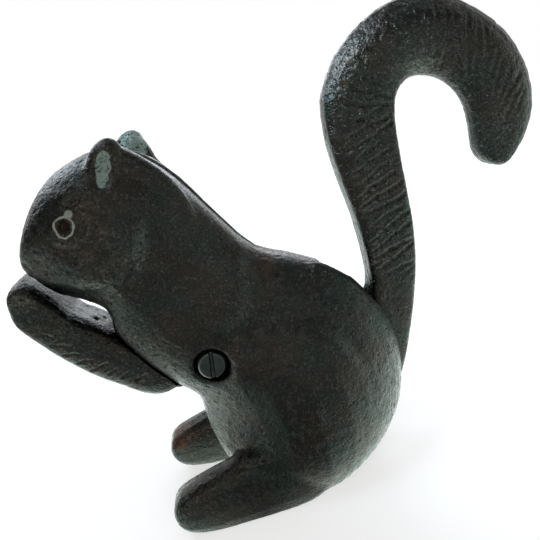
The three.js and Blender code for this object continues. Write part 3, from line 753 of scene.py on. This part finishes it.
def strokeTree():
    # cuts strokes into a casting's two faces, in rows that follow a line
    c = castStrokes
    tree = bpy.data.node_groups.new("castStrokes", "GeometryNodeTree")
    face = tree.interface
    face.new_socket("Geometry", in_out="OUTPUT", socket_type="NodeSocketGeometry")
    for name, kind in (("Geometry", "Geometry"), ("Line", "Object"), ("Strokes", "Int"), ("Deep", "Float"),
                       ("Wide", "Float"), ("Lip", "Float"), ("Wander", "Float"), ("Slip", "Float"),
                       ("Seed", "Int"), ("Mark", "String"), ("Finish", "Material")):
        face.new_socket(name, in_out="INPUT", socket_type="NodeSocket" + kind)
    given = addNode(tree, "NodeGroupInput").outputs
    vary = {}
    for i, (name, (low, high)) in enumerate(c["vary"].items()):
        seed = addNode(tree, "FunctionNodeIntegerMath", {0: given["Seed"], 1: i})
        vary[name] = addNode(tree, "FunctionNodeRandomValue", {2: low, 3: high, "Seed": seed},
                             data_type="FLOAT").outputs[1]

    # one bent stroke on each point of the row, leaning by the row's tilt
    line = addNode(tree, "GeometryNodeObjectInfo", {"Object": given["Line"]})
    row = addNode(tree, "GeometryNodeResampleCurve",
                  {"Curve": line.outputs["Geometry"], "Count": given["Strokes"]})
    ahead = addNode(tree, "ShaderNodeSeparateXYZ", {0: addNode(tree, "GeometryNodeInputTangent")})
    upwards = addNode(tree, "ShaderNodeMath", {0: ahead.outputs["Z"], 1: -1.0}, operation="MULTIPLY")
    heading = addNode(tree, "ShaderNodeMath", {0: upwards, 1: ahead.outputs["X"]}, operation="ARCTAN2")
    lean = addNode(tree, "ShaderNodeMath", {0: heading, 1: addNode(tree, "GeometryNodeInputCurveTilt")},
                   operation="ADD")
    lean = addNode(tree, "ShaderNodeMath", {0: vary["turn"], 1: given["Wander"], 2: lean},
                   operation="MULTIPLY_ADD")
    turned = addNode(tree, "ShaderNodeCombineXYZ", {"Y": lean})
    half = addNode(tree, "GeometryNodeInputRadius")
    long = addNode(tree, "ShaderNodeMath", {0: half, 1: vary["long"]}, operation="MULTIPLY")
    bent = addNode(tree, "ShaderNodeMath", {0: half, 1: vary["bend"]}, operation="MULTIPLY")
    size = addNode(tree, "ShaderNodeCombineXYZ", {"X": long, "Y": half, "Z": bent})
    start, middle, end = c["arc"]
    stroke = addNode(tree, "GeometryNodeCurveQuadraticBezier",
                     {"Resolution": c["arcPoints"], "Start": start, "Middle": middle, "End": end})
    laid = addNode(tree, "GeometryNodeInstanceOnPoints",
                   {"Points": row, "Instance": stroke, "Rotation": turned, "Scale": size})
    # each stroke slips sideways on its row, and all of them waver
    aside = addNode(tree, "ShaderNodeMath", {0: vary["aside"], 1: given["Slip"]}, operation="MULTIPLY")
    slid = addNode(tree, "GeometryNodeTranslateInstances", {
        "Instances": laid, "Translation": addNode(tree, "ShaderNodeCombineXYZ", {"X": aside})})
    plain = addNode(tree, "GeometryNodeRealizeInstances", {0: slid})
    waves = addNode(tree, "ShaderNodeTexNoise",
                    {"W": given["Seed"], "Scale": 1 / (c["wave"] * mm), "Detail": 1.0}, noise_dimensions="4D")
    middle = addNode(tree, "ShaderNodeVectorMath", {0: waves.outputs["Color"], 1: (0.5, 0.5, 0.5)},
                     operation="SUBTRACT")
    reach = addNode(tree, "ShaderNodeMath", {0: given["Wander"], 1: c["waveReach"] * mm}, operation="MULTIPLY")
    slip = addNode(tree, "ShaderNodeVectorMath", {0: middle, "Scale": reach}, operation="SCALE")
    wavy = addNode(tree, "GeometryNodeSetPosition", {"Geometry": plain, "Offset": slip})
    wires = addNode(tree, "GeometryNodeCurveToMesh", {"Curve": wavy})
    level = addNode(tree, "GeometryNodeTransform",
                    {"Geometry": wires, "Scale": (1, 0, 1), "Translation": (0, pivot.y, 0)})

    # a groove with a raised lip on both sides, where the mark allows it
    place = addNode(tree, "ShaderNodeSeparateXYZ", {0: addNode(tree, "GeometryNodeInputPosition")})
    flat = addNode(tree, "ShaderNodeCombineXYZ",
                   {"X": place.outputs["X"], "Y": pivot.y, "Z": place.outputs["Z"]})
    near = addNode(tree, "GeometryNodeProximity", {0: level, "Sample Position": flat}, target_element="EDGES")
    across = addNode(tree, "ShaderNodeMath", {0: near.outputs["Distance"], 1: given["Wide"]},
                     operation="DIVIDE")
    cut = addNode(tree, "ShaderNodeMath", {0: across, 1: across}, operation="MULTIPLY")
    cut = addNode(tree, "ShaderNodeMath", {0: math.exp(-1), 1: cut}, operation="POWER")
    lip = addNode(tree, "ShaderNodeMath", {0: across, 1: c["lipAt"]}, operation="SUBTRACT")
    lip = addNode(tree, "ShaderNodeMath", {0: lip, 1: lip}, operation="MULTIPLY")
    lip = addNode(tree, "ShaderNodeMath", {0: math.exp(-c["lipSharp"]), 1: lip}, operation="POWER")
    lip = addNode(tree, "ShaderNodeMath", {0: lip, 1: given["Lip"]}, operation="MULTIPLY")
    profile = addNode(tree, "ShaderNodeMath", {0: lip, 1: cut}, operation="SUBTRACT")
    where = addNode(tree, "GeometryNodeInputNamedAttribute", {"Name": given["Mark"]}, data_type="FLOAT")
    deep = addNode(tree, "ShaderNodeMath", {0: where, 1: given["Deep"]}, operation="MULTIPLY")
    amount = addNode(tree, "ShaderNodeMath", {0: profile, 1: deep}, operation="MULTIPLY")
    push = addNode(tree, "ShaderNodeVectorMath", {0: addNode(tree, "GeometryNodeInputNormal"), "Scale": amount},
                   operation="SCALE")
    shaped = addNode(tree, "GeometryNodeSetPosition", {"Geometry": given["Geometry"], "Offset": push})
    real = addNode(tree, "GeometryNodeRealizeInstances", {0: shaped})
    finished = addNode(tree, "GeometryNodeSetMaterial", {"Geometry": real, "Material": given["Finish"]})
    addNode(tree, "NodeGroupOutput", {0: finished})
    return tree


def cutStrokes(piece, tree, line, values):
    # runs the tree on a piece and keeps the result as a plain mesh
    modifier = piece.modifiers.new("castStrokes", "NODES")
    modifier.node_group = tree
    sockets = {item.name: item.identifier for item in tree.interface.items_tree if item.in_out == "INPUT"}
    for name, value in {"Line": line, "Finish": iron, **values}.items():
        modifier[sockets[name]] = value
    keepModified(piece)
    bpy.data.objects.remove(line)


def makeLever():
    c = tailLever
    piece = solidCopy("tail_lever", "tailLeverCastIron", c["voxel"])
    mesh = piece.data
    edges = readEdges(mesh)
    free = openSkin(piece, ("left_body_casting", "right_body_casting", "pivot_screw"))
    points = readPoints(mesh)
    spine = np.array([(x, z) for x, z, _, _ in c["spine"]])
    distance, side, _ = alongLine(points, spine)
    nearest = np.argmin([np.hypot(points[:, 0] - x, points[:, 2] - z) for x, z in spine], axis=0)
    thinner = np.where(side > 0, np.array(c["outerShare"])[nearest], np.array(c["innerShare"])[nearest])
    thinner = smoothed(thinner * step(distance, *c["sideFrom"]), edges, c["thinPasses"])
    towardsEdge = np.clip((distance - c["thinFrom"]) / c["thinOver"], 0, 1)
    points[:, 1] *= 1 - thinner * towardsEdge ** c["thinPower"]
    writePoints(mesh, points)
    normals = readNormals(mesh)
    rise = np.zeros(len(points))
    for x, y, z, radius, deep in c["blowholes"]:
        away = np.linalg.norm(points - (x, y, z), axis=1)
        rise -= deep * np.exp(-(away / radius) ** 2)
    writePoints(mesh, points + normals * rise[:, None])
    castTexture(piece, free, c["rougher"])

    points = readPoints(mesh)
    flat = step(np.abs(smoothed(normals, edges, 4)[:, 1]), *c["furFacing"])
    distance, side, ends = alongLine(points, spine)
    share = smoothed(np.array(c["furShare"])[nearest], edges, c["furPasses"])
    fur = step(side * distance, *c["furEdge"]) * step(ends, 0, 0.5) * share * flat * free
    storeMark(mesh, "furMark", fur)
    nicked = step(points[:, 0], *c["nickFrom"]) * step(np.abs(points[:, 1]), *c["nickOutside"])
    storeMark(mesh, "nickMark", nicked * free)
    tree = strokeTree()
    cutStrokes(piece, tree, strokeLine("furLine", c["spine"]), c["furStrokes"])
    cutStrokes(piece, tree, strokeLine("nickLine", c["nicks"]), c["nickStrokes"])
    markWear(piece, c["handled"])
    piece.data.shade_smooth()
    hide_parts("tail_lever")
    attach(piece, "lever")
    print("tailLeverCastIron", len(piece.data.polygons), "faces")


makeLever()
print("lever cast, with its fur and nicks")

# Pivot screw, its nut and the dowels

screwSteel = {
    "name": "blackenedTurnedSteel",
    "face": "#424b47",
    "stain": "#38403d",
    "worn": "#6f7a75",        # the corners that the screwdriver and spanner touch
    "slotShade": "#0e1212",       # painted shade in the slot's corners
    "slotShadeSpan": (0.0003, 0.0006),    # m from the slot's middle
    "slotShadeDeep": 0.5,         # mm over and under its floor
    "stainSize": 2.4,         # mm
    "stainSpan": (0.4, 0.62),
    "roughSpan": (0, 1, 0.4, 0.55),
    "turning": 0.9,           # mm, between the lathe tool's rings; drawn coarse so that they show
    "turningDeep": 0.006,     # mm
}

screwWork = {
    "sides": 96,
    "face": -20.6,            # mm along the axis: the head's face, its seat and the shank's tip
    "seat": -16.6,
    "tip": 22.6,
    "tipEdge": 0.5,           # the tip's chamfer
    "head": 5.0,              # radii, mm
    "shank": 3.0,
    "edge": 0.55,             # the head's chamfer, and how it starts: in from it and down
    "edgeStart": (0.3, 0.05),
    "slotWide": 1.6,
    "slotDeep": 1.2,
    "slotLean": 7,            # degrees
    "pitch": 1.0,             # of the thread
    "threadFrom": 11.6,
    "threadDeep": 0.55,
    "threadShares": (0.15, 0.55, 0.95),    # of the pitch: the crest's end, the root and the next crest
    "nutFrom": 16.6,
    "nutTo": 21.6,
    "nutAcross": 10.0,
    "nutEdge": (0.85, 0.5),   # chamfer at the corners, inwards and along the axis
    "nutHole": 3.3,
    "holeEdge": 0.5,          # chamfer of the hole
    "soft": 0.12,             # rounding of edges
    "softFrom": 35,           # degrees between the faces
    "sharpFrom": 30,
    "wornRim": 0.2,           # width of the head's rubbed rim inside its chamfer
    "proud": (0.004, 0.03),   # mm that an edge stands out where it starts to be rubbed and where it is full
    "wornMost": 0.7,
}


def makeScrewSteel():
    # Mild steel turned on a lathe and oil-blackened: smooth and cool grey, with faint rings and stains
    c = screwSteel
    material, tree = newMaterial(c["name"])
    place = addNode(tree, "ShaderNodeTexCoord").outputs["Object"]
    worn = addNode(tree, "ShaderNodeAttribute", attribute_name="wornMark").outputs["Fac"]
    stains = addNode(tree, "ShaderNodeTexNoise",
                     {"Vector": place, "Scale": 1 / (c["stainSize"] * mm), "Detail": 4.0})
    stained = addNode(tree, "ShaderNodeMapRange", {"Value": stains, **span(c["stainSpan"])})
    rough = addNode(tree, "ShaderNodeMapRange", {"Value": stained, **span(c["roughSpan"])})

    # painted shade in the slot's corners: near the level of its floor, less a strip along its middle
    centred = addNode(tree, "ShaderNodeMapping", {"Vector": place, "Location": -pivot})
    alongSlot = addNode(tree, "ShaderNodeVectorRotate",
                        {"Vector": centred, "Angle": -math.radians(screwWork["slotLean"])},
                        rotation_type="Y_AXIS")
    slotPlace = addNode(tree, "ShaderNodeSeparateXYZ", {0: alongSlot}).outputs
    across = addNode(tree, "ShaderNodeMath", {0: slotPlace["X"]}, operation="ABSOLUTE")
    beside = addNode(tree, "ShaderNodeMapRange", {"Value": across, **span(c["slotShadeSpan"])})
    slotFloor = screwWork["face"] + screwWork["slotDeep"]
    onFloor = addNode(tree, "ShaderNodeMath", {0: slotPlace["Y"], 1: slotFloor * mm, 2: c["slotShadeDeep"] * mm},
                      operation="COMPARE")
    slotShaded = addNode(tree, "ShaderNodeMath", {0: beside, 1: onFloor}, operation="MULTIPLY")

    waveLong = math.pi / 10    # a Wave texture's rings lie this far apart at scale 1
    rings = addNode(tree, "ShaderNodeTexWave", {"Vector": centred, "Scale": waveLong / (c["turning"] * mm),
                                                "Distortion": 0.3}, wave_type="RINGS", rings_direction="Y")
    # the last layer is the painted shade in the slot's corners
    layers = ((stained, c["stain"]), (worn, c["worn"]), (slotShaded, c["slotShade"]))
    endMetal(tree, c["face"], layers, rough, rings.outputs["Fac"], c["turningDeep"] * mm)
    return material


steel = makeScrewSteel()


def turnedForm(name, profile, sides):
    # a lathe-turned solid round the screw's axis, from (radius, y) pairs that start and end on the axis
    shape = bmesh.new()
    rings = []
    for radius, y in profile:
        turns = [2 * math.pi * i / sides for i in range(1 if radius == 0 else sides)]
        rings.append([shape.verts.new(onObject(radius * math.sin(turn), y, radius * math.cos(turn)))
                      for turn in turns])
    for here, after in zip(rings, rings[1:]):
        for i in range(sides):
            corners = [here[i % len(here)], here[(i + 1) % len(here)],
                       after[(i + 1) % len(after)], after[i % len(after)]]
            shape.faces.new(list(dict.fromkeys(corners)))
    bmesh.ops.recalc_face_normals(shape, faces=shape.faces)
    return shapeObject(name, shape)


def cutWith(piece, tool, operation):
    cut = piece.modifiers.new(tool.name, "BOOLEAN")
    cut.operation = operation
    cut.object = tool
    cut.solver = "EXACT"
    keepModified(piece)
    bpy.data.objects.remove(tool)


def finishSteel(piece, node):
    # rounds the edges, marks them as rubbed, and puts the piece in its node's place
    c = screwWork
    bevel = piece.modifiers.new("softEdges", "BEVEL")
    bevel.width = c["soft"] * mm
    bevel.segments = 2
    bevel.limit_method = "ANGLE"
    bevel.angle_limit = math.radians(c["softFrom"])
    keepModified(piece)
    mesh = piece.data
    points = readPoints(mesh)
    proud = np.einsum("ij,ij->i", points - around(points, readEdges(mesh)), readNormals(mesh))
    flatTo = c["head"] - c["edge"]
    rim = step(np.hypot(points[:, 0], points[:, 2]), flatTo - c["wornRim"], flatTo)
    storeMark(mesh, "wornMark", step(proud, *c["proud"]) * rim * c["wornMost"])
    coat(mesh, steel)
    mesh.shade_smooth()
    mesh.set_sharp_from_angle(angle=math.radians(c["sharpFrom"]))
    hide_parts(node)
    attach(piece, "body")


def makeScrew():
    c = screwWork
    head, shank, pitch = c["head"], c["shank"], c["pitch"]
    flatTo = head - c["edge"]
    startIn, startDown = c["edgeStart"]
    profile = [(0, c["face"]), (flatTo - startIn, c["face"]), (flatTo, c["face"] + startDown),
               (head, c["face"] + c["edge"]), (head, c["seat"]), (shank, c["seat"])]
    crestEnd, root, crest = c["threadShares"]
    y = c["threadFrom"]
    while y + pitch < c["tip"] - 0.2:
        profile += [(shank, y), (shank, y + crestEnd * pitch), (shank - c["threadDeep"], y + root * pitch),
                    (shank, y + crest * pitch)]
        y += pitch
    profile += [(shank, y), (shank - c["tipEdge"], c["tip"]), (0, c["tip"])]
    screw = turnedForm("pivotScrewSteel", profile, c["sides"])
    shape = bmesh.new()
    bmesh.ops.create_cube(shape, size=1)
    lean = Matrix.Rotation(math.radians(c["slotLean"]), 4, "Y")
    size = Matrix.Diagonal((c["slotWide"] * mm, 2 * c["slotDeep"] * mm, 3 * head * mm, 1))
    shape.transform(Matrix.Translation(onObject(0, c["face"], 0)) @ lean @ size)
    cutWith(screw, shapeObject("driverSlot", shape), "DIFFERENCE")
    finishSteel(screw, "pivot_screw")


def makeNut():
    c = screwWork
    corner = c["nutAcross"] / 2 / math.cos(math.pi / 6)
    past = corner + 0.05      # the chamfering form clears the corners
    low, high = c["nutFrom"], c["nutTo"]
    nut = turnedForm("pivotNutSteel", [(0, low), (corner, low), (corner, high), (0, high)], 6)
    inwards, along = c["nutEdge"]
    chamfer = turnedForm("nutChamfer", [(0, low), (corner - inwards, low), (past, low + along),
                                        (past, high - along), (corner - inwards, high), (0, high)], c["sides"])
    cutWith(nut, chamfer, "INTERSECT")
    hole, edge = c["nutHole"], c["holeEdge"]
    over = 1.0                # mm past the nut's faces
    wide = hole + edge + over
    bore = turnedForm("nutBore", [(0, low - over), (wide, low - over), (hole, low + edge), (hole, high - edge),
                                  (wide, high + over), (0, high + over)], c["sides"])
    cutWith(nut, bore, "DIFFERENCE")
    finishSteel(nut, "pivot_nut")


makeScrew()
makeNut()
for name in ("head_dowel", "haunch_dowel"):   # inside the castings
    coat(frame["nodes"][name].data, steel)
print("screw and nut turned, dowels finished")
